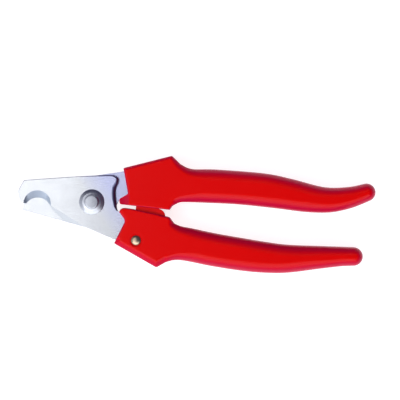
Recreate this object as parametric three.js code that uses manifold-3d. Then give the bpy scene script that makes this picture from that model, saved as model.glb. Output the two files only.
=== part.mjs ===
// Plier-type claw clipper, closed. Millimetres, +X from the jaws to the handles, +Z out of the front face.
// The origin is on the pivot axis, level with the flat backs of the handles.
import * as THREE from 'three';
import { mergeVertices } from 'three/addons/utils/BufferGeometryUtils.js';
import Module from 'manifold-3d';

const wasm = await Module();
wasm.setup();

// Driving dimensions: blades
const BLADE_THICKNESS = 2.95;
const REAR_BLADE_Z = 4;
const FRONT_BLADE_Z = 7.05; // 0.1 mm in front of the rear blade
const FRONT_FACE_Z = FRONT_BLADE_Z + BLADE_THICKNESS;
const NOTCH_RADIUS = 6.35;
const FRONT_NOTCH = [-24.8, -4.2]; // centre of the ground notch on the blade's outer face
const FRONT_NOTCH_LEAN = [0.35, -3.3]; // its shift at the cutting edge
const REAR_NOTCH = [-24.2, 2.7];
const REAR_NOTCH_LEAN = [-0.2, 3.5];
const EDGE_BEVEL_WIDTH = 2.9;
const EDGE_BEVEL_END = 12; // distance of the bevel's inner end below or above the pivot

// Driving dimensions: handles
const GRIP_HEIGHT = 14;
const GRIP_EDGE = 2.4; // width of the rounded edge, seen from the front
const GRIP_EDGE_DEPTH = 3.8;
const INNER_EDGE = 0.6; // the crisper edge along the gap between the heads
const INNER_EDGE_DEPTH = 1.2;
const PIECE_GAP = 0.3; // between a tang or pin and the moulding around it

// Driving dimensions: pivot, lock and spring
const SHANK_RADIUS = 3;
const BOLT_FLANGE_RADIUS = 4.6;
const BOLT_HEAD_RADIUS = 3.3;
const BOLT_HEIGHT = 13.3;
const WASHER_RADIUS = 5.8;
const WASHER_BORE_RADIUS = 3.1;
const WASHER_Z = [10.05, 11.2];
const RUNNING_GAP = 0.05;
const NUT_CORNER_RADIUS = 5.2;
const NUT_Z = [0.5, 3];
const RIVET = [22.5, -14.8];
const RIVET_RADIUS = 1.3;
const RIVET_HEAD_RADIUS = 2.3;
const RIVET_BORE_RADIUS = 1.45; // of what the rivet holds
const RIVET_Z = [0.15, 14.5];
const FRONT_COUNTERBORE = { radius: 2.9, depth: 0.5 };
const REAR_COUNTERBORE = { radius: 3.1, depth: 1.4 };
const CATCH_PIN = [20.4, 3.2];
const CATCH_PIN_RADIUS = 1;
const CATCH_PIN_Z = [2.5, 12.5];
const LEVER_Z = 10.35;
const LEVER_THICKNESS = 2;
const LEVER_EYE_RADIUS = 3.4;
const LEVER_ROOM = [LEVER_Z - 0.25, LEVER_Z + LEVER_THICKNESS + 0.3];
const SPRING_X = 27.5;
const SPRING_Z = 5;
const SPRING_COIL_RADIUS = 2.1; // to the middle of the wire
const SPRING_WIRE_RADIUS = 0.45;
const SPRING_ENDS = [-8.1, 7.8];
const SPRING_TURNS = 7;
const SPRING_POCKET = { radius: 2.95, lowEnd: -8.8, highEnd: 8.5 };

// Fineness
const NOTCH_SIDES = 56;
const ROUND_SIDES = 40;
const SMALL_SIDES = 24;
const MERGE_DISTANCE = 1e-4;

// Materials
const steel = { color: 0xe6ebf5, roughness: 0.28, metalness: 1 };
const darkSteel = { color: 0x9aa0ac, roughness: 0.35, metalness: 1 };
const redPlastic = { color: 0xdc1010, roughness: 0.25, metalness: 0 };
const darkRedPlastic = { color: 0x8a0c0c, roughness: 0.4, metalness: 0 };
const brass = { color: 0xb59a62, roughness: 0.3, metalness: 1 };

// Booleans
function solid(geometry) {
  const bare = geometry.clone();
  bare.deleteAttribute('normal');
  bare.deleteAttribute('uv');
  const merged = mergeVertices(bare, MERGE_DISTANCE);
  const vertProperties = new Float32Array(merged.attributes.position.array);
  const triVerts = new Uint32Array(merged.index.array);
  return new wasm.Manifold(new wasm.Mesh({ numProp: 3, vertProperties, triVerts }));
}

function geometryOf(body) {
  const { vertProperties, triVerts } = body.getMesh();
  const geometry = new THREE.BufferGeometry();
  geometry.setAttribute('position', new THREE.BufferAttribute(vertProperties, 3));
  geometry.setIndex(new THREE.BufferAttribute(triVerts, 1));
  geometry.computeVertexNormals();
  return geometry;
}

const cutAll = (body, cutters) => cutters.reduce((rest, cutter) => rest.subtract(cutter), body);

// Basic solids
function slab(shape, low, high, curveSegments = 8) {
  const depth = high - low;
  const geometry = new THREE.ExtrudeGeometry(shape, { depth, bevelEnabled: false, curveSegments });
  return solid(geometry.translate(0, 0, low));
}

// The same slab, larger by a gap on every side
function roomFor(shape, low, high, gap, curveSegments = 8) {
  const bevel = { bevelEnabled: true, bevelSize: gap, bevelThickness: gap, bevelSegments: 1 };
  const geometry = new THREE.ExtrudeGeometry(shape, { depth: high - low, ...bevel, curveSegments });
  return solid(geometry.translate(0, 0, low));
}

function roundEdgedSlab(shape, height, edge, edgeDepth, curveSegments) {
  const bevel = { bevelEnabled: true, bevelSize: edge, bevelOffset: -edge, bevelThickness: edgeDepth };
  const depth = height - 2 * edgeDepth;
  const geometry = new THREE.ExtrudeGeometry(shape, { depth, ...bevel, bevelSegments: 4, curveSegments });
  return solid(geometry.translate(0, 0, edgeDepth));
}

function rod([x, y], radius, low, high, sides = ROUND_SIDES) {
  const geometry = new THREE.CylinderGeometry(radius, radius, high - low, sides);
  return solid(geometry.rotateX(Math.PI / 2).translate(x, y, (low + high) / 2));
}

// A solid of revolution about the Z axis, from [radius, height] corners
function turned(corners, sides = ROUND_SIDES) {
  const points = corners.map(([radius, height]) => new THREE.Vector2(radius, height));
  return new THREE.LatheGeometry(points, sides).rotateX(Math.PI / 2);
}

// A round notch whose centre leans sideways from the blade's outer face to its cutting edge
function leaningNotch([x, y], [leanX, leanY], outerZ, edgeZ) {
  const reach = 3 * BLADE_THICKNESS;
  const cylinder = new THREE.CylinderGeometry(NOTCH_RADIUS, NOTCH_RADIUS, reach, NOTCH_SIDES);
  const geometry = cylinder.rotateX(Math.PI / 2);
  const run = edgeZ - outerZ;
  const lean = new THREE.Matrix4().set(1, 0, leanX / run, 0, 0, 1, leanY / run, 0, 0, 0, 1, 0, 0, 0, 0, 1);
  return solid(geometry.applyMatrix4(lean).translate(x, y, outerZ));
}

// The wedge that a straight edge's bevel takes off. It runs from start to end, and deepens away from that
// line on the given side of it, from the blade's outer face towards its cutting edge.
function bevelWedge([startX, startY], [endX, endY], side, outerZ, edgeZ) {
  const run = Math.hypot(endX - startX, endY - startY);
  const slope = (edgeZ - outerZ) / EDGE_BEVEL_WIDTH;
  const reach = 1.4 * EDGE_BEVEL_WIDTH; // past the cutting edge
  const over = -Math.sign(slope) * BLADE_THICKNESS; // clear of the outer face
  const section = new THREE.Shape();
  section.moveTo(0, 0);
  section.lineTo(side * reach, reach * slope);
  section.lineTo(side * reach, over);
  section.lineTo(-side * EDGE_BEVEL_WIDTH, over);
  section.lineTo(-side * EDGE_BEVEL_WIDTH, -EDGE_BEVEL_WIDTH * slope);
  const geometry = new THREE.ExtrudeGeometry(section, { depth: run, bevelEnabled: false });
  const along = new THREE.Vector3(endX - startX, endY - startY, 0).normalize();
  const up = new THREE.Vector3(0, 0, 1);
  const across = new THREE.Vector3().crossVectors(up, along);
  const basis = new THREE.Matrix4().makeBasis(across, up, along);
  return solid(geometry.applyMatrix4(basis).translate(startX, startY, outerZ));
}

// Outlines
const lineThrough = (shape, points) => points.forEach(([x, y]) => shape.lineTo(x, y));
const curveThrough = (shape, points) => shape.splineThru(points.map(([x, y]) => new THREE.Vector2(x, y)));

// From the straight cutting edge's inner end, around the tang inside the handle, and up the plate's free
// edge, whose round bump meets the other handle's claw at full opening. side is 1 for the front blade, whose
// tang is below the X axis, and -1 for the rear one.
function drawTangAndStop(shape, side) {
  const tang = [
    [-1.1, -EDGE_BEVEL_END], [10.6, -15.3], [20, -18.3], [30, -20.5], [41, -16.2], [60, -15.6], [62, -13.6],
    [60, -11.6], [41, -10.8], [28, -10.2], [21, -9.4], [17.6, -7.4], [13.6, -3.1],
  ];
  const stop = [[12.2, -2.3], [11.3, 0.4], [10.4, 4.2], [10.1, 7.6], [10.8, 10.2], [10.5, 12.5], [8, 13.7]];
  const flip = ([x, y]) => [x, side * y];
  lineThrough(shape, tang.map(flip));
  curveThrough(shape, stop.map(flip));
}

function frontBladeOutline() {
  const shape = new THREE.Shape();
  shape.moveTo(-32.4, -4.4);
  lineThrough(shape, [[-18.3, -5.2], [-12.2, -10.2]]);
  drawTangAndStop(shape, 1);
  lineThrough(shape, [[-7.2, 11], [-32.2, 6]]);
  shape.quadraticCurveTo(-34.3, 1.6, -34.3, 0.2);
  return shape;
}

function rearBladeOutline() {
  const shape = new THREE.Shape();
  shape.moveTo(-31.1, 1.9);
  lineThrough(shape, [[-18.4, 3.2], [-12.2, 8.6]]);
  drawTangAndStop(shape, -1);
  lineThrough(shape, [[-1.1, -12.1], [-13.7, -10.3], [-31.3, -7.8]]);
  return shape;
}

function upperGripOutline() {
  const shape = new THREE.Shape();
  shape.moveTo(16.2, 0.65);
  lineThrough(shape, [[36, 1], [36.9, 2.9], [39.2, 4.5]]);
  curveThrough(shape, [
    [42, 5.35], [53.9, 6.5], [67.7, 7.55], [84.4, 7.95], [98.4, 8.05], [109.4, 9.3], [118, 12.2], [124, 15.3],
  ]);
  shape.absarc(124.75, 20.6, 4.15, -Math.PI / 3, 0.58 * Math.PI);
  curveThrough(shape, [
    [116.2, 22.1], [105.2, 20.6], [90, 22.4], [76.9, 23.3], [54.7, 22.2], [43.7, 21], [38.2, 22.5],
  ]);
  lineThrough(shape, [[33.9, 25.8], [12.4, 17.3], [14.7, 10.4], [16.1, 6]]);
  return shape;
}

function lowerGripOutline() {
  const shape = new THREE.Shape();
  shape.moveTo(12.6, -17.5);
  lineThrough(shape, [[33.3, -26], [37.4, -22.95]]);
  curveThrough(shape, [
    [43.5, -21.3], [58, -22.2], [71.6, -22.55], [82.7, -22.15], [93.7, -20.7], [108, -17], [118, -14.5],
  ]);
  shape.absarc(122.6, -9.4, 4.3, -0.43 * Math.PI, 0.55 * Math.PI);
  curveThrough(shape, [
    [108.7, -6.4], [92.1, -7.9], [80.9, -7.9], [69.7, -7.5], [58.5, -7], [47.2, -6.1], [42, -5.8],
  ]);
  lineThrough(shape, [[38.8, -4.9], [36.3, -2.3], [31.8, -1.9], [19, -0.8], [16.2, -0.7], [16.2, -7.3]]);
  return shape;
}

// A head's inner edge: the claw that stops the other blade, and the crisp edge along the gap between heads
function upperInnerEdgeOutline() {
  const shape = new THREE.Shape();
  shape.moveTo(12.6, 3.2);
  shape.quadraticCurveTo(12.1, 1.8, 13.2, 0.65);
  lineThrough(shape, [[36, 1], [36.9, 2.9], [33, 7.5], [20, 7.5], [16.1, 6.1], [16, 5.6]]);
  return shape;
}

function lowerInnerEdgeOutline() {
  const shape = new THREE.Shape();
  shape.moveTo(13.2, -3);
  shape.quadraticCurveTo(13.4, -1.1, 15.2, -0.75);
  lineThrough(shape, [
    [19, -0.8], [31.8, -1.9], [36.3, -2.3], [37.6, -3.6], [33, -9], [20, -9], [16.2, -7.3], [16, -5.9],
  ]);
  return shape;
}

function leverOutline() {
  const [x, y] = RIVET;
  const shape = new THREE.Shape();
  shape.moveTo(x - LEVER_EYE_RADIUS, y);
  lineThrough(shape, [
    [20, -4], [20.5, -2], [20.5, 1.3], [24.1, 1.3], [24.1, 4.9], [21.7, 4.9], [22, 6.3], [26.4, 6.3],
    [26.8, 0.95], [31, 0.9],
  ]);
  shape.bezierCurveTo(33, 0.6, 34.4, -0.7, 34.3, -2.4);
  shape.bezierCurveTo(30.5, -3, 26.4, -5.5, x + LEVER_EYE_RADIUS, y);
  shape.absarc(x, y, LEVER_EYE_RADIUS, 0, -Math.PI, true);
  return shape;
}

// Room for the lever and its swing, open towards the gap between the heads and towards the handles
function leverRoomInLowerGrip() {
  const [x, y] = RIVET;
  const radius = LEVER_EYE_RADIUS + 2 * RUNNING_GAP + PIECE_GAP;
  const shape = new THREE.Shape();
  shape.moveTo(x + radius, y);
  lineThrough(shape, [
    [26.9, -9.5], [28.4, -6.1], [31, -4.2], [34.6, -3], [39, -2.9], [39, 1], [18, 1], [18, -3],
    [x - radius, y],
  ]);
  shape.absarc(x, y, radius, -Math.PI, 0, false);
  return slab(shape, ...LEVER_ROOM);
}

function leverRoomInUpperGrip() {
  const shape = new THREE.Shape();
  shape.moveTo(18, 0);
  lineThrough(shape, [[39, 0], [39, 2.3], [29, 2.3], [29, 7.1], [18, 7.1]]);
  return slab(shape, ...LEVER_ROOM);
}

function springPocket() {
  const { radius, lowEnd, highEnd } = SPRING_POCKET;
  const geometry = new THREE.CylinderGeometry(radius, radius, highEnd - lowEnd, SMALL_SIDES);
  return solid(geometry.translate(SPRING_X, (lowEnd + highEnd) / 2, SPRING_Z));
}

// Pieces
function frontBlade() {
  const plate = slab(frontBladeOutline(), FRONT_BLADE_Z, FRONT_FACE_Z);
  const bevel = [[-18.9, -3.9], [-1.1, -EDGE_BEVEL_END], -1, FRONT_FACE_Z, FRONT_BLADE_Z];
  return cutAll(plate, [
    leaningNotch(FRONT_NOTCH, FRONT_NOTCH_LEAN, FRONT_FACE_Z, FRONT_BLADE_Z),
    bevelWedge(...bevel),
    rod([0, 0], SHANK_RADIUS + RUNNING_GAP, 0, GRIP_HEIGHT),
    rod(RIVET, RIVET_RADIUS + 2 * RUNNING_GAP, 0, GRIP_HEIGHT, SMALL_SIDES),
  ]);
}

function rearBlade() {
  const plate = slab(rearBladeOutline(), REAR_BLADE_Z, REAR_BLADE_Z + BLADE_THICKNESS);
  const bevel = [[-18.9, 2.3], [-1.1, EDGE_BEVEL_END], 1, REAR_BLADE_Z, REAR_BLADE_Z + BLADE_THICKNESS];
  return cutAll(plate, [
    leaningNotch(REAR_NOTCH, REAR_NOTCH_LEAN, REAR_BLADE_Z, REAR_BLADE_Z + BLADE_THICKNESS),
    bevelWedge(...bevel),
    rod([0, 0], SHANK_RADIUS + RUNNING_GAP, 0, GRIP_HEIGHT),
  ]);
}

// The upper claw's front slopes down towards the pivot
function clawSlope() {
  const section = new THREE.Shape();
  section.moveTo(17.2, GRIP_HEIGHT);
  lineThrough(section, [[11, 8.6], [11, 15], [17.2, 15]]);
  const geometry = new THREE.ExtrudeGeometry(section, { depth: 7, bevelEnabled: false });
  return solid(geometry.rotateX(Math.PI / 2).translate(0, 6.4, 0));
}

function upperGrip() {
  const innerEdge = roundEdgedSlab(upperInnerEdgeOutline(), GRIP_HEIGHT, INNER_EDGE, INNER_EDGE_DEPTH, 6);
  const grip = roundEdgedSlab(upperGripOutline(), GRIP_HEIGHT, GRIP_EDGE, GRIP_EDGE_DEPTH, 5);
  return cutAll(grip.add(innerEdge.subtract(clawSlope())), [
    roomFor(rearBladeOutline(), REAR_BLADE_Z, REAR_BLADE_Z + BLADE_THICKNESS, PIECE_GAP),
    leverRoomInUpperGrip(),
    springPocket(),
    rod(CATCH_PIN, CATCH_PIN_RADIUS + PIECE_GAP / 3, CATCH_PIN_Z[0] - PIECE_GAP, LEVER_Z, SMALL_SIDES),
  ]);
}

function lowerGrip() {
  const innerEdge = roundEdgedSlab(lowerInnerEdgeOutline(), GRIP_HEIGHT, INNER_EDGE, INNER_EDGE_DEPTH, 6);
  const grip = roundEdgedSlab(lowerGripOutline(), GRIP_HEIGHT, GRIP_EDGE, GRIP_EDGE_DEPTH, 5);
  return cutAll(grip.add(innerEdge), [
    roomFor(frontBladeOutline(), FRONT_BLADE_Z, FRONT_FACE_Z, PIECE_GAP),
    leverRoomInLowerGrip(),
    springPocket(),
    rod(RIVET, RIVET_RADIUS + 2 * RUNNING_GAP, -1, GRIP_HEIGHT + 1, SMALL_SIDES),
    rod(RIVET, FRONT_COUNTERBORE.radius, GRIP_HEIGHT - FRONT_COUNTERBORE.depth, GRIP_HEIGHT + 1),
    rod(RIVET, REAR_COUNTERBORE.radius, -1, REAR_COUNTERBORE.depth),
  ]);
}

function lockLever() {
  const plate = slab(leverOutline(), LEVER_Z, LEVER_Z + LEVER_THICKNESS, 10);
  return plate.subtract(rod(RIVET, RIVET_RADIUS + RUNNING_GAP, LEVER_Z - 1, GRIP_HEIGHT, SMALL_SIDES));
}

function nut() {
  const hexagon = rod([0, 0], NUT_CORNER_RADIUS, ...NUT_Z, 6);
  return hexagon.subtract(rod([0, 0], SHANK_RADIUS + 2 * RUNNING_GAP, 0, GRIP_HEIGHT));
}

// Seven coils along Y, closing up towards both ends
class SpringLine extends THREE.Curve {
  getPoint(t) {
    const turn = 2 * Math.PI * SPRING_TURNS * t;
    const eased = t - 0.09 * Math.sin(2 * Math.PI * t);
    return new THREE.Vector3(
      SPRING_X + SPRING_COIL_RADIUS * Math.cos(turn),
      THREE.MathUtils.lerp(...SPRING_ENDS, eased),
      SPRING_Z + SPRING_COIL_RADIUS * Math.sin(turn),
    );
  }
}

function openingSpring() {
  const wire = new THREE.Shape();
  wire.absarc(0, 0, SPRING_WIRE_RADIUS, 0, 2 * Math.PI);
  const path = { extrudePath: new SpringLine(), steps: 14 * SPRING_TURNS, curveSegments: 3 };
  return new THREE.ExtrudeGeometry(wire, { ...path, bevelEnabled: false });
}

// Sections of the turned pieces, as [radius, height] corners
const [washerLow, washerHigh] = WASHER_Z;
const flangeLow = washerHigh + RUNNING_GAP;
const boltProfile = [
  [0, 0], [SHANK_RADIUS - 0.4, 0], [SHANK_RADIUS, 0.4], [SHANK_RADIUS, flangeLow],
  [BOLT_FLANGE_RADIUS, flangeLow], [BOLT_FLANGE_RADIUS, 11.6], [BOLT_FLANGE_RADIUS - 0.3, 11.8],
  [BOLT_HEAD_RADIUS, 12], [BOLT_HEAD_RADIUS, BOLT_HEIGHT - 0.4], [BOLT_HEAD_RADIUS - 0.5, BOLT_HEIGHT],
  [0, BOLT_HEIGHT],
];
const washerProfile = [
  [WASHER_BORE_RADIUS, washerLow], [WASHER_RADIUS, washerLow], [WASHER_RADIUS, 10.5], [4.7, 11.1],
  [4.5, washerHigh], [WASHER_BORE_RADIUS, washerHigh], [WASHER_BORE_RADIUS, washerLow],
];
const springWasherProfile = [
  [WASHER_BORE_RADIUS, 3.1], [5.3, 3.45], [5.3, 3.9], [WASHER_BORE_RADIUS, 3.55], [WASHER_BORE_RADIUS, 3.1],
];
const [rivetLow, rivetHigh] = RIVET_Z;
const rivetHeadLow = GRIP_HEIGHT - FRONT_COUNTERBORE.depth + RUNNING_GAP;
const rivetProfile = [
  [0, rivetLow], [2, rivetLow], [2, 0.55], [RIVET_RADIUS, 0.55], [RIVET_RADIUS, rivetHeadLow],
  [RIVET_HEAD_RADIUS, rivetHeadLow], [RIVET_HEAD_RADIUS, 13.7], [1.9, 14.1], [1.2, 14.38], [0.5, 14.48],
  [0, rivetHigh],
];
const burrProfile = [
  [RIVET_BORE_RADIUS, 0.6], [2.8, 0.6], [2.8, 1.3], [RIVET_BORE_RADIUS, 1.3], [RIVET_BORE_RADIUS, 0.6],
];
const frictionWasherProfile = [
  [RIVET_BORE_RADIUS, 10.04], [3.2, 10.04], [3.2, 10.3], [RIVET_BORE_RADIUS, 10.3],
  [RIVET_BORE_RADIUS, 10.04],
];
const [pinLow, pinHigh] = CATCH_PIN_Z;
const catchPinProfile = [
  [0, pinLow], [CATCH_PIN_RADIUS, pinLow], [CATCH_PIN_RADIUS, pinHigh - 0.2],
  [CATCH_PIN_RADIUS - 0.2, pinHigh], [0, pinHigh],
];

// Assembly
function piece(name, geometry, finish) {
  const mesh = new THREE.Mesh(geometry, new THREE.MeshStandardMaterial(finish));
  mesh.name = name;
  return mesh;
}

function groupAt([x, y], ...pieces) {
  const group = new THREE.Group();
  group.position.set(x, y, 0);
  group.add(...pieces);
  return group;
}

const clipper = new THREE.Group();
clipper.add(
  piece('front_blade', geometryOf(frontBlade()), steel),
  piece('rear_blade', geometryOf(rearBlade()), steel),
  piece('upper_grip', geometryOf(upperGrip()), redPlastic),
  piece('lower_grip', geometryOf(lowerGrip()), redPlastic),
  piece('lock_lever', geometryOf(lockLever()), darkRedPlastic),
  piece('opening_spring', openingSpring(), darkSteel),
  groupAt(
    [0, 0],
    piece('pivot_bolt', turned(boltProfile), darkSteel),
    piece('pivot_washer', turned(washerProfile), steel),
    piece('pivot_spring_washer', turned(springWasherProfile), darkSteel),
    piece('pivot_nut', geometryOf(nut()), darkSteel),
  ),
  groupAt(
    RIVET,
    piece('lock_rivet', turned(rivetProfile, SMALL_SIDES), brass),
    piece('lock_rivet_burr', turned(burrProfile, SMALL_SIDES), brass),
    piece('lock_friction_washer', turned(frictionWasherProfile, SMALL_SIDES), darkSteel),
  ),
  groupAt(CATCH_PIN, piece('lock_catch_pin', turned(catchPinProfile, SMALL_SIDES), steel)),
);

export default clipper;
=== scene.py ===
"""The looks of a plier-type claw clipper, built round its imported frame.

Shapes are drawn in millimetres in the frame's own axes, and become metres as their meshes are made.
"""
import math

import bmesh
import bpy
import numpy as np
from mathutils import Matrix, Vector


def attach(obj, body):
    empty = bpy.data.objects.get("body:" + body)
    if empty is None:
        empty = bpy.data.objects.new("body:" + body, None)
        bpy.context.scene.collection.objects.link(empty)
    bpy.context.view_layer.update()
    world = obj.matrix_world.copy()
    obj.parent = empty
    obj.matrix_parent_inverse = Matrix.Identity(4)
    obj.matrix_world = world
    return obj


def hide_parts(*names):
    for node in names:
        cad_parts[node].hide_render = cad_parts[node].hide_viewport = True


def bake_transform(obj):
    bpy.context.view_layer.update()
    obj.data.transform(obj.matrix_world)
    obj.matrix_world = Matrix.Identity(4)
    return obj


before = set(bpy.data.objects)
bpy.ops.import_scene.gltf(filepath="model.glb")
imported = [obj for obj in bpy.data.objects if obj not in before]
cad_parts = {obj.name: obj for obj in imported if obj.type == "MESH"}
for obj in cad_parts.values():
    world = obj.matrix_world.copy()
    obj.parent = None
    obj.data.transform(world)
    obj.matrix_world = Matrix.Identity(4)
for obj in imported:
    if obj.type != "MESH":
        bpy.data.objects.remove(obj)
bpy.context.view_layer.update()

MM = 0.001
COLLECTION = bpy.context.scene.collection

# Places shared with the CAD model, in millimetres
GRIP_HEIGHT = 14
REAR_BLADE = (4, 6.95)
FRONT_BLADE = (7.05, 10)
NOTCH_RADIUS = 6.35
SHANK_RADIUS = 3
RIVET = (22.5, -14.8)
RIVET_BORE_RADIUS = 1.4
CATCH_PIN = (20.4, 3.2)
LEVER = (10.35, 12.35)
LEVER_EYE_RADIUS = 3.4
LEVER_ROOM = (10.1, 12.65)
SPRING_X, SPRING_Z = 27.5, 5
SPRING_ENDS = (-8.1, 7.8)
SPRING_COIL_RADIUS = 2.1
SPRING_WIRE_RADIUS = 0.45
SPRING_TURNS = 7
TANG_GAP = 0.1

# An edge's rounding goes no further down than this, however wide it is
DEEPEST_EASE = 1.3

# Flat levels that lie beyond both faces of everything cut through, in millimetres
BELOW, ABOVE = -1, 15


# ---------------------------------------------------------------- outlines

def rounded(points, radius, steps=5, closed=False):
    """The polyline with its inner corners turned into short curves that start and end a radius from them."""
    points = np.asarray(points, float)
    count = len(points)
    result = [] if closed else [points[0]]
    for i in range(0 if closed else 1, count if closed else count - 1):
        before, corner, after = points[i - 1], points[i], points[(i + 1) % count]
        back, ahead = before - corner, after - corner
        reach = min(radius, 0.45 * np.linalg.norm(back), 0.45 * np.linalg.norm(ahead))
        start = corner + back / np.linalg.norm(back) * reach
        end = corner + ahead / np.linalg.norm(ahead) * reach
        for t in np.linspace(0, 1, steps):
            result.append((1 - t) ** 2 * start + 2 * t * (1 - t) * corner + t * t * end)
    if not closed:
        result.append(points[-1])
    return np.array(result)


class Path:
    """A line in the plane, drawn stretch by stretch."""

    def __init__(self, start):
        self.points = [np.array(start, float)]

    def line(self, *points, corner=0.0):
        stretch = [self.points[-1], *np.array(points, float)]
        if corner:
            stretch = rounded(stretch, corner)
        self.points += list(stretch[1:])
        return self

    def curve(self, *points, step=0.5):
        """A Catmull-Rom curve through the points."""
        knots = np.array([self.points[-1], *points], float)
        for i in range(len(knots) - 1):
            a, b, c, d = knots[max(i - 1, 0)], knots[i], knots[i + 1], knots[min(i + 2, len(knots) - 1)]
            count = max(3, round(np.linalg.norm(c - b) / step))
            for t in np.arange(1, count + 1)[:, None] / count:
                into, out = (c - a) / 2, (d - b) / 2
                cubic = (2 * b - 2 * c + into + out) * t**3 + (3 * c - 3 * b - 2 * into - out) * t**2
                self.points.append(cubic + into * t + b)
        return self

    def bezier(self, *controls, count=14):
        """A quadratic or cubic curve from the last point."""
        knots = np.array([self.points[-1], *controls], float)
        for t in np.arange(1, count + 1) / count:
            rung = knots
            while len(rung) > 1:
                rung = (1 - t) * rung[:-1] + t * rung[1:]
            self.points.append(rung[0])
        return self

    def arc(self, centre, radius, start, end, count=24):
        for angle in np.linspace(start, end, count + 1):
            self.points.append(np.array(centre) + radius * np.array([math.cos(angle), math.sin(angle)]))
        return self

    @property
    def array(self):
        points = np.array(self.points)
        keep = np.linalg.norm(np.diff(points, axis=0, prepend=points[:1] - 1), axis=1) > 1e-6
        return points[keep]


def ring_of(*paths):
    """One closed outline from paths that follow each other."""
    points = np.concatenate([path.array for path in paths])
    keep = np.linalg.norm(points - np.roll(points, 1, axis=0), axis=1) > 1e-6
    return points[keep]


# ---------------------------------------------------------------- meshes

def mesh_object(name, vertices, faces):
    """An object from vertices in millimetres."""
    mesh = bpy.data.meshes.new(name)
    mesh.from_pydata((np.asarray(vertices, float) * MM).tolist(), [], [list(face) for face in faces])
    mesh.validate()
    piece = bpy.data.objects.new(name, mesh)
    COLLECTION.objects.link(piece)
    return piece


def apply_modifiers(piece):
    bpy.context.view_layer.update()
    settled = bpy.data.meshes.new_from_object(piece.evaluated_get(bpy.context.evaluated_depsgraph_get()))
    piece.modifiers.clear()
    piece.data = settled


def carve(piece, *cutters, operation="DIFFERENCE"):
    """Takes the cutters out of a piece, and deletes them."""
    for cutter in cutters:
        modifier = piece.modifiers.new("carve", "BOOLEAN")
        modifier.operation = operation
        modifier.solver = "MANIFOLD"
        modifier.object = cutter
    apply_modifiers(piece)
    for cutter in cutters:
        bpy.data.objects.remove(cutter)
    return piece


def shade(piece, sharp_above):
    """Smooth shading, with the edges that turn by more than an angle kept sharp."""
    shape = bmesh.new()
    shape.from_mesh(piece.data)
    limit = math.radians(sharp_above)
    for edge in shape.edges:
        edge.smooth = edge.calc_face_angle(math.pi) < limit
    for face in shape.faces:
        face.smooth = True
    shape.to_mesh(piece.data)
    shape.free()
    return piece


def face_outward(piece):
    """Turns every face of a closed mesh outward."""
    shape = bmesh.new()
    shape.from_mesh(piece.data)
    bmesh.ops.recalc_face_normals(shape, faces=shape.faces)
    shape.to_mesh(piece.data)
    shape.free()
    return piece


def weight_normals(piece):
    """Lets the large flat faces keep their own direction beside thin eased edges."""
    modifier = piece.modifiers.new("normals", "WEIGHTED_NORMAL")
    modifier.keep_sharp = True
    modifier.weight = 100
    apply_modifiers(piece)
    return piece


def prism(name, outline, low, high):
    """A straight-sided solid over a counter-clockwise outline."""
    count = len(outline)
    layers = [np.column_stack([outline, np.full(count, z)]) for z in (low, high)]
    sides = [(i, (i + 1) % count, (i + 1) % count + count, i + count) for i in range(count)]
    caps = [tuple(range(count))[::-1], tuple(range(count, 2 * count))]
    return mesh_object(name, np.concatenate(layers), sides + caps)


def circle(centre, radius, count=96):
    angles = np.arange(count) * 2 * math.pi / count
    return np.array(centre) + radius * np.column_stack([np.cos(angles), np.sin(angles)])


def outward_mitres(outline):
    """Each point's shift for a unit offset of a counter-clockwise outline, held back at sharp corners."""
    ahead = np.roll(outline, -1, axis=0) - outline
    ahead /= np.linalg.norm(ahead, axis=1)[:, None]
    outward = np.column_stack([ahead[:, 1], -ahead[:, 0]])
    before = np.roll(outward, 1, axis=0)
    return (outward + before) / np.maximum(1 + (outward * before).sum(1), 0.4)[:, None]


def eased_plate(name, outline, low, high, low_ease, high_ease, steps=4):
    """A plate with rounded edges. An ease is the rounding's width, one number or one per outline point."""
    count = len(outline)
    mitre = outward_mitres(outline)
    rings = []
    for end, ease, way in ((low, low_ease, 1), (high, high_ease, -1)):
        width = np.broadcast_to(ease, count)
        depth = np.minimum(width, DEEPEST_EASE)
        angles = np.linspace(0, math.pi / 2, steps + 1)
        for angle in angles if way == 1 else angles[::-1]:
            flat = outline - mitre * (width * (1 - math.sin(angle)))[:, None]
            rings.append(np.column_stack([flat, end + way * depth * (1 - math.cos(angle))]))
    faces = [tuple(range(count))[::-1], tuple(range(count * (len(rings) - 1), count * len(rings)))]
    for level in range(len(rings) - 1):
        base = level * count
        faces += [(base + i, base + (i + 1) % count, base + (i + 1) % count + count, base + i + count)
                  for i in range(count)]
    return mesh_object(name, np.concatenate(rings), faces)


def turned(name, profile, centre=(0, 0), ease=0.12, sides=128):
    """A solid of revolution from [radius, height] corners, eased. A profile off the axis closes on itself."""
    open_profile = profile[0][0] == 0
    profile = rounded(profile, ease, steps=4, closed=not open_profile)
    angles = np.arange(sides) * 2 * math.pi / sides
    vertices, rings = [], []
    for radius, height in profile:
        turns = angles if radius > 1e-6 else angles[:1]
        rings.append([len(vertices) + i for i in range(len(turns))])
        vertices += [(centre[0] + radius * math.cos(a), centre[1] + radius * math.sin(a), height)
                     for a in turns]
    faces = []
    following = rings[1:] + ([] if open_profile else rings[:1])
    for lower, upper in zip(rings, following):
        for i in range(sides):
            j = (i + 1) % sides
            corners = (lower[i % len(lower)], lower[j % len(lower)],
                       upper[j % len(upper)], upper[i % len(upper)])
            faces.append(tuple(dict.fromkeys(corners)))
    return shade(mesh_object(name, vertices, faces), 50)


# ---------------------------------------------------------------- moulded grips

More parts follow.
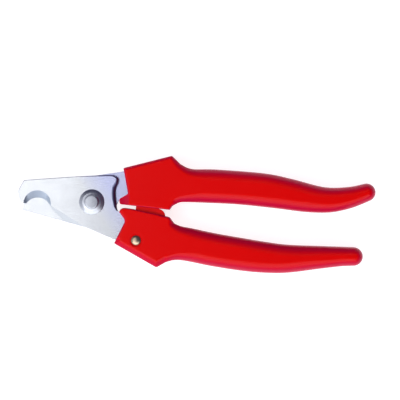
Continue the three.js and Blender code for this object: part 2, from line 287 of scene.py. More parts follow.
# How a moulding's edge is rounded: knots of (x, width seen from the front, depth, power), where a power
# near 1 is a flat chamfer and 2 is a round edge.
CRISP = [(0, 0.6, 0.9, 2.0)]
HEAD_SIDE = [(0, 0.9, 0.9, 1.6)]
LOWER_HEAD = [(0, 2.7, 2.2, 1.25)]
UPPER_HEAD = [(33, 1.5, 1.5, 1.5), (38, 2.4, 2.2, 1.4)]
THROAT = [(36, 0.9, 1.2, 2.0), (39, 2.0, 2.2, 1.8)]
HANDLE = [(38, 2.4, 2.2, 1.4), (50, 5.0, 5.2, 1.9), (98, 5.4, 5.6, 2.0), (112, 4.3, 5.2, 2.0),
          (126, 3.8, 5.0, 2.0)]

# The net that a moulding's surface is caught in. The fractions keep its planes off the flat faces.
NET_STEP = 0.32
NET_OFFSET = 0.37


def upper_grip_stretches():
    gap = Path((12.6, 3.2)).bezier((12.1, 1.8), (13.2, 0.65)).line((36, 1))
    throat = Path((36, 1)).line((36.9, 2.9), (39.2, 4.5), corner=0.8)
    handle = Path((39.2, 4.5)).curve(
        (42, 5.35), (53.9, 6.5), (67.7, 7.55), (84.4, 7.95), (98.4, 8.05), (109.4, 9.3), (118, 12.2),
        (124, 15.3))
    handle.arc((124.75, 20.6), 4.15, -math.pi / 3, 0.58 * math.pi)
    handle.curve(
        (116.2, 22.1), (105.2, 20.6), (90, 22.4), (76.9, 23.3), (54.7, 22.2), (43.7, 21), (38.2, 22.5))
    head = Path((38.2, 22.5)).line((33.9, 25.8), (12.4, 17.3), (12.8, 16.3), corner=0.6)
    side = Path((12.8, 16.3)).line((14.7, 10.4), (16.1, 6), (15.6, 5.4), (12.6, 3.2), corner=1)
    return [(gap, CRISP), (throat, THROAT), (handle, HANDLE), (head, UPPER_HEAD), (side, HEAD_SIDE)]


def lower_grip_stretches():
    head = Path((13, -16.4)).line((12.6, -17.5), (33.3, -26), (37.4, -22.95), corner=0.6)
    handle = Path((37.4, -22.95)).curve(
        (43.5, -21.3), (58, -22.2), (71.6, -22.55), (82.7, -22.15), (93.7, -20.7), (108, -17), (118, -14.5))
    handle.arc((122.6, -9.4), 4.3, -0.43 * math.pi, 0.55 * math.pi)
    handle.curve(
        (108.7, -6.4), (92.1, -7.9), (80.9, -7.9), (69.7, -7.5), (58.5, -7), (47.2, -6.1), (42, -5.8),
        (38.8, -4.9))
    throat = Path((38.8, -4.9)).line((36.3, -2.3), (31.8, -1.9), corner=0.8)
    gap = Path((31.8, -1.9)).line((19, -0.8), (15.2, -0.75)).bezier((13.4, -1.1), (13.2, -3))
    side = Path((13.2, -3)).line((16, -5.9), (16.2, -7.3), (13, -16.4), corner=1)
    return [(head, LOWER_HEAD), (handle, HANDLE), (throat, THROAT), (gap, CRISP), (side, HEAD_SIDE)]


def nearest(points, path, cell=4.0):
    """The point of a path nearest to each of the points, found one square cell of points at a time."""
    start, run = path[:-1], np.diff(path, axis=0)
    half = np.linalg.norm(run, axis=1) / 2
    foot = np.zeros_like(points)
    keys = np.floor(points / cell).astype(int)
    order = np.lexsort(keys.T)
    changes = np.flatnonzero(np.any(np.diff(keys[order], axis=0), axis=1)) + 1
    for group in np.split(order, changes):
        away = np.linalg.norm(start + run / 2 - (keys[group[0]] + 0.5) * cell, axis=1)
        diagonal = 1.42 * cell
        near = away - half <= (away + half).min() + diagonal
        begin, reach = start[near], run[near]
        offset = points[group][:, None] - begin
        t = np.clip((offset * reach).sum(2) / (reach * reach).sum(1), 0, 1)
        gap = offset - t[..., None] * reach
        best = (gap * gap).sum(2).argmin(1)
        foot[group] = begin[best] + t[np.arange(len(group)), best, None] * reach[best]
    return foot


def is_inside(points, outline):
    """Whether each point lies within a closed outline, by counting the sides that a ray crosses."""
    inside = np.zeros(len(points), bool)
    for (ax, ay), (bx, by) in zip(outline, np.roll(outline, -1, axis=0)):
        if ay != by:
            spans = (points[:, 1] < ay) != (points[:, 1] < by)
            inside ^= spans & (points[:, 0] < ax + (points[:, 1] - ay) * (bx - ax) / (by - ay))
    return inside


class Moulding:
    """A thick slab over an outline, whose edge is rounded differently on each stretch."""

    def __init__(self, stretches, height):
        self.stretches = [(path.array, np.array(finish)) for path, finish in stretches]
        self.outline = ring_of(*(path for path, finish in stretches))
        self.half = height / 2

    def plan(self, points):
        """Whether each point is inside, and for each stretch how far in it is and that edge's finish.

        How far in is a share of the edge's width, and comes with the unit direction away from the edge.
        """
        sign = np.where(is_inside(points, self.outline), 1.0, -1.0)
        rows = []
        for path, finish in self.stretches:
            foot = nearest(points, path)
            offset = points - foot
            distance = np.linalg.norm(offset, axis=1)
            width, depth, power = (np.interp(foot[:, 0], finish[:, 0], finish[:, k]) for k in (1, 2, 3))
            inward = offset * (sign / np.maximum(distance, 1e-9))[:, None]
            rows.append((sign * distance / width, width, depth, power, inward))
        return sign, rows

    def level(self, share, depth, power, z):
        """The field of one stretch: above 0 inside, 0 on the surface. Also its two parts and their sum."""
        across = np.maximum(1 - share, 0)
        up = np.maximum((np.abs(z - self.half) - (self.half - depth)) / depth, 0)
        total = np.maximum(across**power + up**power, 1e-9)
        return 1 - total ** (1 / power), across, up, total

    def sample(self, xs, ys, zs):
        """The field on a grid."""
        points = np.stack(np.meshgrid(xs, ys, indexing="ij"), axis=-1).reshape(-1, 2)
        sign, rows = self.plan(points)
        field = np.full((len(points), len(zs)), np.inf)
        nearest_wall = np.full(len(points), -np.inf)
        for share, _, depth, power, _ in rows:
            value = self.level(share[:, None], depth[:, None], power[:, None], zs[None])[0]
            field = np.minimum(field, value)
            nearest_wall = np.maximum(nearest_wall, share)
        outside = np.minimum(nearest_wall[:, None], 1 - np.abs(zs - self.half)[None] / self.half)
        field = np.where(sign[:, None] < 0, outside, field)
        return field.reshape(len(xs), len(ys), len(zs))

    def pull(self, vertices):
        """Moves vertices onto the exact surface."""
        flat, z = vertices[:, :2], vertices[:, 2]
        sign, rows = self.plan(flat)
        best = np.full(len(vertices), np.inf)
        move = np.zeros_like(vertices)
        for share, width, depth, power, inward in rows:
            value, across, up, total = self.level(share, depth, power, z)
            scale = total ** (1 / power - 1)
            slope_in = scale * across ** (power - 1) / width
            slope_up = -scale * up ** (power - 1) / depth * np.sign(z - self.half)
            steepness = np.maximum(slope_in**2 + slope_up**2, 1e-6)
            step = -value / steepness
            chosen = np.where(sign > 0, value < best, np.abs(share) < best)
            best = np.where(chosen, np.where(sign > 0, value, np.abs(share)), best)
            change = np.column_stack([inward * (step * slope_in)[:, None], step * slope_up])
            move = np.where(chosen[:, None], change, move)
        longest = 0.3 * NET_STEP
        length = np.maximum(np.linalg.norm(move, axis=1), 1e-9)
        return vertices + move * np.minimum(1, longest / length)[:, None]


def net(field, axes):
    """The zero surface of a sampled field: a vertex in each cell that it crosses, and a quad per edge."""
    inside = field > 0
    cells = tuple(n - 1 for n in field.shape)
    corners = [inside[i : i + cells[0], j : j + cells[1], k : k + cells[2]].astype(np.int8)
               for i in (0, 1) for j in (0, 1) for k in (0, 1)]
    filled = sum(corners)
    where = np.argwhere((filled > 0) & (filled < 8))
    number = np.full(cells, -1)
    number[tuple(where.T)] = np.arange(len(where))
    total, hits = np.zeros(where.shape), np.zeros(len(where))
    faces = []
    for axis in range(3):
        others = [k for k in range(3) if k != axis]
        for shift in ((0, 0), (0, 1), (1, 0), (1, 1)):
            start = where.copy()
            start[:, others] += shift
            end = start.copy()
            end[:, axis] += 1
            a, b = field[tuple(start.T)], field[tuple(end.T)]
            crossed = (a > 0) != (b > 0)
            point = start.astype(float)
            point[:, axis] += np.where(crossed, a / np.where(crossed, a - b, 1), 0)
            total[crossed] += point[crossed]
            hits += crossed
        low = np.take(inside, range(field.shape[axis] - 1), axis)
        high = np.take(inside, range(1, field.shape[axis]), axis)
        edges = np.argwhere(low != high)
        leaving = low[tuple(edges.T)]
        quad = []
        for shift in ((0, 0), (-1, 0), (-1, -1), (0, -1)):
            cell = edges.copy()
            cell[:, others] += shift
            quad.append(number[tuple(cell.T)])
        quad = np.stack(quad, axis=1)
        flip = leaving != (axis != 1)
        quad[flip] = quad[flip][:, ::-1]
        faces.append(quad)
    grid = total / hits[:, None]
    vertices = np.column_stack([np.interp(grid[:, k], np.arange(len(axes[k])), axes[k]) for k in range(3)])
    return vertices, np.concatenate(faces)


def moulded(name, stretches, height):
    shape = Moulding(stretches, height)
    low, high = shape.outline.min(0), shape.outline.max(0)
    start, end = low - (2 + NET_OFFSET) * NET_STEP, high + 3 * NET_STEP
    xs, ys = (np.arange(start[k], end[k], NET_STEP) for k in (0, 1))
    levels = round(height / NET_STEP / 2)
    zs = height / 2 + (np.arange(-levels - 3, levels + 3) + 0.5) * height / 2 / (levels + NET_OFFSET)
    vertices, faces = net(shape.sample(xs, ys, zs), (xs, ys, zs))
    for _ in range(4):
        vertices = shape.pull(vertices)
    return mesh_object(name, vertices, faces)


def cylinder_along_y(name, x, z, radius, low, high, count=64):
    rod = prism(name, circle((x, z), radius, count), low, high)
    rod.data.transform(Matrix(((1, 0, 0, 0), (0, 0, 1, 0), (0, 1, 0, 0), (0, 0, 0, 1))))
    rod.data.flip_normals()
    return rod


# ---------------------------------------------------------------- blades


def tang_and_stop(path, side):
    """The hidden tang, then the free edge whose bump meets the other head when the handles are open."""
    tang = [(-1.1, -12), (10.6, -15.3), (20, -18.3), (30, -20.5), (41, -16.2), (60, -15.6), (62, -13.6),
            (60, -11.6), (41, -10.8), (28, -10.2), (21, -9.4), (17.6, -7.4), (13.6, -3.1)]
    stop = [(12.2, -2.3), (11.3, 0.4), (10.4, 4.2), (10.1, 7.6), (10.8, 10.2), (10.5, 12.5), (8, 13.7)]
    path.line(*[(x, side * y) for x, y in tang])
    return path.curve(*[(x, side * y) for x, y in stop], step=0.25)


def front_outline():
    path = Path((-32.4, -4.4)).line((-18.3, -5.2), (-12.2, -10.2))
    tang_and_stop(path, 1).line((-7.2, 11), (-32.2, 6)).bezier((-34.3, 1.6), (-34.3, 0.2))
    return path.array


def rear_outline():
    path = Path((-31.1, 1.9)).line((-18.4, 3.2), (-12.2, 8.6))
    tang_and_stop(path, -1).line((-1.1, -12.1), (-13.7, -10.3), (-31.3, -7.8))
    return path.array[::-1]


def edge_ease(outline, side, plain, back, stop):
    """Each outline point's edge width: broad on the free edge, slight on the back edge, least elsewhere."""
    x, y = outline[:, 0], side * outline[:, 1]
    ease = np.full(len(outline), plain)
    ease[(x < 3) & (y > 1)] = back
    free = (x > 7.9) & (x < 12.5) & (y > -2.4)
    heights = (-2.4, -0.5, 4, 8, 11, 12.6, 13.7)
    shares = np.array((0.3, 0.8, 1, 1, 0.75, 0.6, 0.5))
    ease[free] = np.interp(y[free], heights, shares * stop)
    return ease


def leaning_notch(centre, lean, outer, edge):
    """The ground notch, whose round section shifts by the lean from the outer face to the cutting edge."""
    cutter = prism("notch", circle((0, 0), NOTCH_RADIUS, 160), -9, 9)
    run = edge - outer
    shear = Matrix(((1, 0, lean[0] / run, centre[0] * MM), (0, 1, lean[1] / run, centre[1] * MM),
                    (0, 0, 1, outer * MM), (0, 0, 0, 1)))
    cutter.data.transform(shear)
    return cutter


def bevel_wedge(start, end, side, outer, edge, width=2.9):
    """The wedge that the straight edge's bevel takes off, deeper away from the line on the given side."""
    start, end = np.array(start, float), np.array(end, float)
    along = (end - start) / np.linalg.norm(end - start)
    across = np.array([-along[1], along[0]]) * side
    slope = (edge - outer) / width
    over = -math.copysign(3, slope)
    reach = 1.4 * width
    section = [(0, 0), (reach, reach * slope), (reach, over), (-width, over), (-width, -width * slope)]
    vertices = [(*(tip + across * s), outer + rise) for tip in (start, end) for s, rise in section]
    count = len(section)
    faces = [tuple(range(count)), tuple(range(count, 2 * count))[::-1]]
    faces += [(i, i + count, (i + 1) % count + count, (i + 1) % count) for i in range(count)]
    return face_outward(mesh_object("wedge", vertices, faces))


def blade(name, outline, side, low, high, notch, bevel):
    """side is 1 for the front blade, whose high face shows, and -1 for the rear one, whose low face does."""
    plain = 0.12
    ease = edge_ease(outline, side, plain, back=0.3, stop=1.7)
    eases = (plain, ease) if side == 1 else (ease, plain)
    plate = eased_plate(name, outline, low, high, *eases, steps=6)
    pivot_bore = prism("bore", circle((0, 0), SHANK_RADIUS + 0.05), BELOW, ABOVE)
    cutters = [leaning_notch(*notch), bevel_wedge(*bevel), pivot_bore]
    if side == 1:
        cutters.append(prism("bore", circle(RIVET, RIVET_BORE_RADIUS, 48), BELOW, ABOVE))
    carve(plate, *cutters)
    return weight_normals(shade(plate, 32))


def finish_blade(plate, side):
    """The polished faces, the unpolished stamped edges painted dark violet as painted shade and painted
    reflection, the ground notch partly painted darker as painted shade, and the honed straight edge.
    """
    plate.data.materials.clear()
    for slot in (STEEL_FACE, STEEL_EDGE_SHADE, STEEL_GROUND, STEEL_HONED):
        plate.data.materials.append(slot)
    polished, stamped, ground, honed = range(4)
    for face in plate.data.polygons:
        x, y = face.center.xy / MM
        y *= side
        facing = abs(face.normal.z)
        if facing > 0.985:
            face.material_index = polished
        elif -31.5 < x < -17.5 and y < 3:
            face.material_index = ground
        elif y < -3 and 0.5 < facing < 0.95:
            face.material_index = honed
        # Everything else is an edge, painted dark violet as painted shade and painted reflection.
        else:
            face.material_index = stamped


def front_blade():
    notch = ((-24.8, -4.2), (0.35, -3.3), FRONT_BLADE[1], FRONT_BLADE[0])
    bevel = ((-18.9, -3.9), (-1.1, -12), -1, FRONT_BLADE[1], FRONT_BLADE[0])
    plate = blade("front_plate", front_outline(), 1, *FRONT_BLADE, notch, bevel)
    finish_blade(plate, 1)
    return plate


def rear_blade():
    notch = ((-24.2, 2.7), (-0.2, 3.5), REAR_BLADE[0], REAR_BLADE[1])
    bevel = ((-18.9, 2.3), (-1.1, 12), 1, REAR_BLADE[0], REAR_BLADE[1])
    plate = blade("rear_plate", rear_outline(), -1, *REAR_BLADE, notch, bevel)
    finish_blade(plate, -1)
    return plate


# ---------------------------------------------------------------- grips, cut for what they hold

def tang_pocket(outline, low, high):
    """The blade's own outline, larger by the gap round the tang."""
    return prism("pocket", outline + TANG_GAP * outward_mitres(outline), low - TANG_GAP, high + TANG_GAP)


def spring_pocket():
    return cylinder_along_y("pocket", SPRING_X, SPRING_Z, 2.95, -8.8, 8.5)


def lever_room_lower():
    x, y = RIVET
    radius = LEVER_EYE_RADIUS + 0.4
    room = Path((x + radius, y)).line(
        (26.9, -9.5), (28.4, -6.1), (31, -4.2), (34.6, -3), (39, -2.9), (39, 1), (18, 1), (18, -3),
        (x - radius, y))
    room.arc(RIVET, radius, -math.pi, -0.02)
    return prism("room", room.array, *LEVER_ROOM)


def lever_room_upper():
    room = np.array([(18, 0), (39, 0), (39, 2.3), (29, 2.3), (29, 7.1), (18, 7.1)], float)
    return prism("room", room, *LEVER_ROOM)


def claw_slope():
    """What the upper claw's front slope takes off, from x 17.2 at the front face down towards the pivot."""
    section = np.array([(17.2, 14), (10.5, 8.16), (10.5, 15), (17.2, 15)], float)
    vertices = [(x, y, z) for y in (-0.5, 5.6) for x, z in section]
    faces = [(0, 1, 2, 3), (7, 6, 5, 4), (0, 4, 5, 1), (1, 5, 6, 2), (2, 6, 7, 3), (3, 7, 4, 0)]
    return face_outward(mesh_object("slope", vertices, faces))


def upper_grip():
    grip = moulded("upper_moulding", upper_grip_stretches(), GRIP_HEIGHT)
    carve(grip, claw_slope(), tang_pocket(rear_outline(), *REAR_BLADE), lever_room_upper(), spring_pocket(),
          prism("hole", circle(CATCH_PIN, 1.05, 48), 2.2, 10.35))
    return shade(grip, 48)


def lower_grip():
    grip = moulded("lower_moulding", lower_grip_stretches(), GRIP_HEIGHT)
    carve(grip, tang_pocket(front_outline(), *FRONT_BLADE), lever_room_lower(), spring_pocket(),
          prism("hole", circle(RIVET, RIVET_BORE_RADIUS, 48), BELOW, ABOVE),
          prism("sink", circle(RIVET, 2.9), 13.5, ABOVE), prism("sink", circle(RIVET, 3.1), BELOW, 1.4))
    return shade(grip, 48)


# ---------------------------------------------------------------- lever, pivot, rivet and spring

def lock_lever():
    x, y = RIVET
    radius = LEVER_EYE_RADIUS
    path = Path((x - radius, y)).line(
        (20, -4), (20.5, -2), (20.5, 1.3), (24.1, 1.3), (24.1, 4.9), (21.7, 4.9), (22, 6.3), (26.4, 6.3),
        (26.8, 0.95), (31, 0.9), corner=0.5)
    path.bezier((33, 0.6), (34.4, -0.7), (34.3, -2.4)).bezier((30.5, -3), (26.4, -5.5), (x + radius, y))
    path.arc(RIVET, radius, 0, -math.pi, count=40)
    plate = eased_plate("lever_plate", path.array[:-1][::-1], *LEVER, 0.12, 0.15)
    carve(plate, prism("bore", circle(RIVET, 1.35, 48), 9, 14))
    return weight_normals(shade(plate, 40))


def pivot_nut():
    """A hexagon whose corners are chamfered by a cone at both ends."""
    hexagon = prism("nut", circle((0, 0), 5.2, 6), 0.5, 3)
    cone = turned("cone", [(0, 0.5), (4.4, 0.5), (5.3, 1), (5.3, 2.5), (4.4, 3), (0, 3)], ease=0.01)
    carve(hexagon, cone, operation="INTERSECT")
    bore = turned("bore", [(0, -0.5), (3.7, -0.5), (3.1, 0.9), (3.1, 4), (0, 4)], ease=0.01, sides=96)
    carve(hexagon, bore)
    return shade(hexagon, 25)


def pivot_bolt():
    profile = [(0, 0), (2.6, 0), (3, 0.4), (3, 11.25), (4.6, 11.25), (4.6, 11.6), (4.3, 11.8), (3.3, 12),
               (3.3, 12.9), (2.8, 13.3), (0, 13.3)]
    return turned("pivot_screw", profile)


def pivot_washer():
    profile = [(3.1, 10.05), (5.8, 10.05), (5.8, 10.5), (4.7, 11.1), (4.5, 11.2), (3.1, 11.2)]
    return turned("pivot_disc", profile)


def pivot_spring_washer():
    return turned("pivot_spring_disc", [(3.1, 3.1), (5.3, 3.45), (5.3, 3.9), (3.1, 3.55)], ease=0.08)


def lock_rivet():
    profile = [(0, 0.15), (2, 0.15), (2, 0.55), (1.3, 0.55), (1.3, 13.55), (2.3, 13.55), (2.3, 13.7),
               (1.9, 14.1), (1.2, 14.38), (0.5, 14.48), (0, 14.5)]
    return turned("rivet", profile, RIVET, ease=0.3, sides=96)


def lock_rivet_burr():
    return turned("rivet_burr", [(1.45, 0.6), (2.8, 0.6), (2.8, 1.3), (1.45, 1.3)], RIVET, sides=96)


def lock_friction_washer():
    profile = [(1.45, 10.04), (3.2, 10.04), (3.2, 10.3), (1.45, 10.3)]
    return turned("friction_disc", profile, RIVET, ease=0.04, sides=96)


def lock_catch_pin():
    return turned("catch_pin", [(0, 2.5), (1, 2.5), (1, 12.3), (0.8, 12.5), (0, 12.5)], CATCH_PIN, sides=64)


def opening_spring():
    """A helix whose coils close up towards both ends."""
    steps, sides = 36 * SPRING_TURNS, 14
    t = np.linspace(0, 1, steps + 1)
    turn = 2 * math.pi * SPRING_TURNS * t
    along = SPRING_ENDS[0] + (SPRING_ENDS[1] - SPRING_ENDS[0]) * (t - 0.09 * np.sin(2 * math.pi * t))
    line = np.column_stack([SPRING_X + SPRING_COIL_RADIUS * np.cos(turn), along,
                            SPRING_Z + SPRING_COIL_RADIUS * np.sin(turn)])
    ahead = np.gradient(line, axis=0)
    ahead /= np.linalg.norm(ahead, axis=1)[:, None]
    out = np.column_stack([np.cos(turn), np.zeros(len(t)), np.sin(turn)])
    side = np.cross(ahead, out)
    vertices = []
    for angle in np.arange(sides) * 2 * math.pi / sides:
        vertices.append(line + SPRING_WIRE_RADIUS * (math.cos(angle) * out + math.sin(angle) * side))
    vertices = np.stack(vertices, axis=1).reshape(-1, 3)
    faces = [tuple(range(sides))[::-1], tuple(range(steps * sides, (steps + 1) * sides))]
    for i in range(steps):
        for j in range(sides):
            k = (j + 1) % sides
            faces.append((i * sides + k, (i + 1) * sides + k, (i + 1) * sides + j, i * sides + j))
    return shade(mesh_object("return_spring", vertices, faces), 50)


# ---------------------------------------------------------------- materials

# How far the fine surface textures stand out, in metres
ORANGE_PEEL = 0.000012
GRINDING = 0.000012
TURNING = 0.00002
PARTING_LINE = 0.00008


class Finish:
    """A material round one Principled shader, with short names for the textures that feed it."""

    def __init__(self, name, **values):
        self.material = bpy.data.materials.new(name)
        self.material.use_nodes = True
        self.nodes = self.material.node_tree.nodes
        self.links = self.material.node_tree.links
        self.shader = self.nodes["Principled BSDF"]
        for key, value in values.items():
            self.shader.inputs[key.replace("_", " ")].default_value = value
        self.place = self.nodes.new("ShaderNodeTexCoord").outputs["Object"]

    def node(self, kind, inputs, output, **settings):
        made = self.nodes.new(kind)
        for key, value in settings.items():
            setattr(made, key, value)
        for key, value in inputs.items():
            if isinstance(value, bpy.types.NodeSocket):
                self.links.new(value, made.inputs[key])
            else:
                made.inputs[key].default_value = value
        return made.outputs[output]

    def moved(self, scale=(1, 1, 1), rotation=(0, 0, 0), location=(0, 0, 0)):
        inputs = {"Vector": self.place, "Scale": scale, "Rotation": rotation, "Location": location}
        return self.node("ShaderNodeMapping", inputs, "Vector")

    def part(self, vector, axis):
        return self.node("ShaderNodeSeparateXYZ", {"Vector": vector}, axis)

    def noise(self, vector, scale, detail=3.0, roughness=0.5):
        inputs = {"Vector": vector, "Scale": scale, "Detail": detail, "Roughness": roughness}
        return self.node("ShaderNodeTexNoise", inputs, "Fac")

    def math(self, operation, a, b=0.0, clamp=False):
        return self.node("ShaderNodeMath", {0: a, 1: b}, 0, operation=operation, use_clamp=clamp)

    def spread(self, value, low, high, new_low, new_high):
        inputs = {"Value": value, "From Min": low, "From Max": high, "To Min": new_low, "To Max": new_high}
        return self.node("ShaderNodeMapRange", inputs, "Result")

    def blend(self, amount, a, b):
        inputs = {0: amount, 6: a, 7: b}
        return self.node("ShaderNodeMix", inputs, 2, data_type="RGBA")

    def use(self, name, output):
        self.links.new(output, self.shader.inputs[name])

    def bump(self, height, distance, strength=1.0):
        inputs = {"Height": height, "Distance": distance, "Strength": strength}
        previous = self.shader.inputs["Normal"]
        if previous.is_linked:
            inputs["Normal"] = previous.links[0].from_socket
        self.use("Normal", self.node("ShaderNodeBump", inputs, "Normal"))


def red_plastic(name, colour, pale, roughness):
    """Moulded plastic: slow colour drift, faint orange peel, edges worn paler, and the parting line.

    Where the surface faces sideways its colour is painted darker and more violet: painted shade and painted
    reflection of dark violet surroundings on the edges.
    """
    finish = Finish(name, Metallic=0.0, IOR=1.5, Specular_IOR_Level=0.12,
                    Sheen_Weight=0.15, Sheen_Roughness=0.3, Sheen_Tint=(0.5, 0.1, 1, 1))
    drift = finish.noise(finish.moved(), 45, 2)
    worn = finish.spread(finish.node("ShaderNodeNewGeometry", {}, "Pointiness"), 0.52, 0.6, 0, 0.35)
    amount = finish.math("ADD", finish.spread(drift, 0.35, 0.65, 0, 0.4), worn, clamp=True)
    # Painted shade and painted violet reflection on the sideways-facing surfaces, blended in by how far the
    # normal tilts from up.
    facing = finish.part(finish.node("ShaderNodeNewGeometry", {}, "Normal"), "Z")
    side_shade_mask = finish.spread(finish.math("ABSOLUTE", facing), 0.7, 0.98, 1, 0)
    painted_side_shade = (0.74 * colour[0], 0.003, 0.052 * colour[0], 1)
    finish.use("Base Color", finish.blend(side_shade_mask, finish.blend(amount, colour, pale), painted_side_shade))
    handling = finish.noise(finish.moved(scale=(1, 1.6, 1)), 320, 5, 0.65)
    finish.use("Roughness", finish.spread(handling, 0.35, 0.7, roughness, roughness + 0.05))
    finish.bump(finish.noise(finish.moved(), 900, 2), ORANGE_PEEL, 0.5)
    from_middle = finish.math("SUBTRACT", finish.part(finish.place, "Z"), GRIP_HEIGHT / 2 * MM)
    seam = finish.spread(finish.math("ABSOLUTE", from_middle), 0.06 * MM, 0.16 * MM, 1, 0)
    finish.bump(seam, PARTING_LINE, 0.8)
    return finish.material


def steel(name, colour, roughness, grain_angle, grain=0.08, speckle=0.04, reflection_tint=None):
    """Steel with fine grinding lines along one direction and a slight drift of tone.

    A painted reflection tint, where given, comes in from the pivot towards the upper handle: a bluer steel
    that stands in for the bluish dark surroundings the faces reflect there.
    """
    finish = Finish(name, Metallic=1.0)
    lines = finish.moved(scale=(60, 4200, 900), rotation=(0, 0, grain_angle))
    fine = finish.noise(lines, 1, 4, 0.6)
    cloud = finish.noise(finish.moved(), 70, 3)
    dark = tuple(0.86 * c for c in colour[:3]) + (1,)
    tone = finish.blend(finish.spread(cloud, 0.3, 0.7, 0, 0.5), colour, dark)
    # Painted reflection: the steel turns bluer towards the upper handle.
    if reflection_tint:
        across = {0: finish.place, 1: (1, 0.8, 0)}
        along = finish.node("ShaderNodeVectorMath", across, "Value", operation="DOT_PRODUCT")
        tone = finish.blend(finish.spread(along, 0, 14 * MM, 0, 1), tone, reflection_tint)
    finish.use("Base Color", tone)
    lined = finish.spread(fine, 0.25, 0.75, roughness - grain / 2, roughness + grain / 2)
    finish.use("Roughness", finish.math("ADD", lined, finish.spread(cloud, 0.3, 0.7, -speckle, speckle)))
    finish.bump(fine, GRINDING, 0.5)
    return finish.material


def turned_metal(name, colour, roughness, centre):
    """Metal with the fine rings that a lathe leaves round a centre."""
    finish = Finish(name, Metallic=1.0)
    offset = finish.moved(location=(-centre[0] * MM, -centre[1] * MM, 0))
    flat = finish.node("ShaderNodeVectorMath", {0: offset, 1: (1, 1, 0)}, 0, operation="MULTIPLY")
    radius = finish.node("ShaderNodeVectorMath", {0: flat}, "Value", operation="LENGTH")
    outward = {"W": finish.math("MULTIPLY", radius, 5200), "Scale": 1.0, "Detail": 3.0}
    rings = finish.node("ShaderNodeTexNoise", outward, "Fac", noise_dimensions="1D")
    cloud = finish.noise(finish.moved(), 500, 3)
    dark = tuple(0.8 * c for c in colour[:3]) + (1,)
    finish.use("Base Color", finish.blend(finish.spread(cloud, 0.35, 0.7, 0, 0.6), colour, dark))
    turned_lines = finish.spread(rings, 0.3, 0.7, roughness - 0.04, roughness + 0.06)
    finish.use("Roughness", finish.math("ADD", turned_lines, finish.spread(cloud, 0.3, 0.7, -0.03, 0.05)))
    finish.bump(rings, TURNING, 0.5)
    return finish.material


# The polished faces' tint towards the upper handle is a painted reflection.
STEEL_FACE = steel("polished_steel", (0.83, 0.86, 0.875, 1), 0.24, math.radians(-9),
                   reflection_tint=(0.68, 0.72, 0.97, 1))
# The edges' dark violet is painted shade and painted reflection of the studio's dark side, on the same steel
# as the faces.
STEEL_EDGE_SHADE = steel("stamped_steel_edge_painted_shade", (0.14, 0.13, 0.28, 1), 0.42, math.radians(20),
                   grain=0.12, speckle=0.06)
# The ground notch's darker, bluer grey is partly its finish and partly painted shade.
STEEL_GROUND = steel("ground_steel_painted_shade", (0.47, 0.54, 0.64, 1), 0.3, math.radians(80))
STEEL_HONED = steel("honed_steel", (0.62, 0.66, 0.70, 1), 0.3, math.radians(60))
TURNED_STEEL = turned_metal("turned_steel", (0.56, 0.59, 0.64, 1), 0.3, (0, 0))
PLATED_STEEL = turned_metal("plated_steel", (0.72, 0.73, 0.76, 1), 0.28, CATCH_PIN)
SPRING_STEEL = steel("spring_steel", (0.42, 0.43, 0.46, 1), 0.3, 0)
BRASS = turned_metal("rivet_brass", (0.54, 0.42, 0.29, 1), 0.3, RIVET)
GRIP_RED = red_plastic("grip_red", (0.74, 0.0003, 0.0001, 1), (0.78, 0.0012, 0.0006, 1), 0.2)
# A little darker than the grips' red: painted shade for the lever, which sits in the shadow between the
# heads.
LEVER_RED_SHADED = red_plastic("lever_red", (0.7, 0.0003, 0.0003, 1), (0.76, 0.002, 0.002, 1), 0.36)


# ---------------------------------------------------------------- the pieces, placed on their bodies

def place(piece, body, node, material=None):
    """Puts a piece on its body in place of its CAD node. A blade comes with its materials."""
    if material:
        piece.data.materials.clear()
        piece.data.materials.append(material)
    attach(piece, body)
    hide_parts(node)


place(front_blade(), "lower_half", "front_blade")
place(rear_blade(), "upper_half", "rear_blade")
place(lower_grip(), "lower_half", "lower_grip", GRIP_RED)
place(upper_grip(), "upper_half", "upper_grip", GRIP_RED)
place(lock_lever(), "lock", "lock_lever", LEVER_RED_SHADED)
place(pivot_bolt(), "lower_half", "pivot_bolt", TURNED_STEEL)
place(pivot_washer(), "lower_half", "pivot_washer", TURNED_STEEL)
place(pivot_nut(), "lower_half", "pivot_nut", TURNED_STEEL)
place(pivot_spring_washer(), "lower_half", "pivot_spring_washer", TURNED_STEEL)
place(lock_rivet(), "lower_half", "lock_rivet", BRASS)
place(lock_rivet_burr(), "lower_half", "lock_rivet_burr", BRASS)
place(lock_friction_washer(), "lower_half", "lock_friction_washer", SPRING_STEEL)
place(lock_catch_pin(), "upper_half", "lock_catch_pin", PLATED_STEEL)

spring = opening_spring()
spring.data.materials.append(SPRING_STEEL)
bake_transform(spring)
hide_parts("opening_spring")


# ---------------------------------------------------------------- floor, light and camera

# The floor's size and level, in millimetres
FLOOR_RADIUS = 4000
FLOOR_LEVEL = -0.1

# The studio round the clipper is bright on one side and dark on the other
BRIGHT_SIDE = (-0.55, -0.8, -0.15)
BRIGHT_TONE = (0.86, 0.87, 0.95, 1)
DARK_TONE = (0.07, 0.068, 0.12, 1)

# What the camera frames, in metres
VIEW_WIDTH = 0.1846
VIEW_CENTRE = (0.0492, 0.0073)
VIEW_ROLL = math.radians(7.4)


def floor():
    """A round sheet of paper that glows a little, just under the clipper's flat back."""
    rim = circle((0, 0), FLOOR_RADIUS, 64)
    ground = mesh_object("floor", [(x, y, FLOOR_LEVEL) for x, y in rim], [range(len(rim))])
    finish = Finish("floor_paper", Roughness=0.7, Emission_Color=(1, 1, 1, 1), Emission_Strength=0.8)
    mottle = finish.spread(finish.noise(finish.moved(), 25, 3), 0.3, 0.7, 0, 1)
    finish.use("Base Color", finish.blend(mottle, (0.52, 0.52, 0.52, 1), (0.5, 0.5, 0.51, 1)))
    ground.data.materials.append(finish.material)


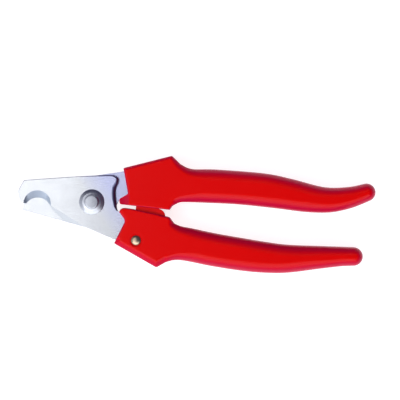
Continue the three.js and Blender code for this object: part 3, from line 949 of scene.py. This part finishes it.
def softbox(name, spot, target, size, power, mirrored=True):
    """An area light that faces a target. One that isn't mirrored gives light without a highlight."""
    light = bpy.data.lights.new(name, "AREA")
    light.shape = "RECTANGLE"
    light.size, light.size_y = size
    light.energy = power
    lamp = bpy.data.objects.new(name, light)
    lamp.location = spot
    lamp.rotation_euler = (Vector(target) - Vector(spot)).to_track_quat("-Z", "Y").to_euler()
    lamp.visible_glossy = mirrored
    COLLECTION.objects.link(lamp)


def studio():
    """The world's light, which turns smoothly from the dark side to the bright one."""
    world = bpy.data.worlds.new("studio")
    bpy.context.scene.world = world
    world.use_nodes = True
    nodes, links = world.node_tree.nodes, world.node_tree.links
    toward = nodes.new("ShaderNodeTexCoord")
    dot = nodes.new("ShaderNodeVectorMath")
    dot.operation = "DOT_PRODUCT"
    dot.inputs[1].default_value = Vector(BRIGHT_SIDE).normalized()
    links.new(toward.outputs["Generated"], dot.inputs[0])
    ramp = nodes.new("ShaderNodeMapRange")
    ramp.inputs["From Min"].default_value = -0.3
    ramp.inputs["From Max"].default_value = 0.9
    links.new(dot.outputs["Value"], ramp.inputs["Value"])
    mix = nodes.new("ShaderNodeMix")
    mix.data_type = "RGBA"
    mix.inputs[6].default_value = DARK_TONE
    mix.inputs[7].default_value = BRIGHT_TONE
    links.new(ramp.outputs["Result"], mix.inputs[0])
    links.new(mix.outputs[2], nodes["Background"].inputs["Color"])
    nodes["Background"].inputs["Strength"].default_value = 1.0


def camera():
    """Looks straight down with a long lens, a little turned."""
    data = bpy.data.cameras.new("camera")
    eye = bpy.data.objects.new("camera", data)
    COLLECTION.objects.link(eye)
    data.lens = 150
    data.sensor_width = 36
    distance = VIEW_WIDTH * data.lens / data.sensor_width
    eye.location = (*VIEW_CENTRE, GRIP_HEIGHT / 2 * MM + distance)
    eye.rotation_euler = (0, 0, VIEW_ROLL)
    bpy.context.scene.camera = eye


floor()
studio()
softbox("overhead", spot=(-0.65, -0.1, 1.7), target=(-0.65, -0.1, 0), size=(1.1, 1.8), power=8.1)
softbox("key", spot=(0.1, -1.35, 1.45), target=(0.05, 0, 0), size=(3.0, 1.6), power=26)
softbox("fill", spot=(0.4, 0.9, 2.0), target=(0.05, 0, 0), size=(1.2, 1.2), power=7, mirrored=False)
camera()
bpy.context.scene.view_settings.view_transform = "Standard"
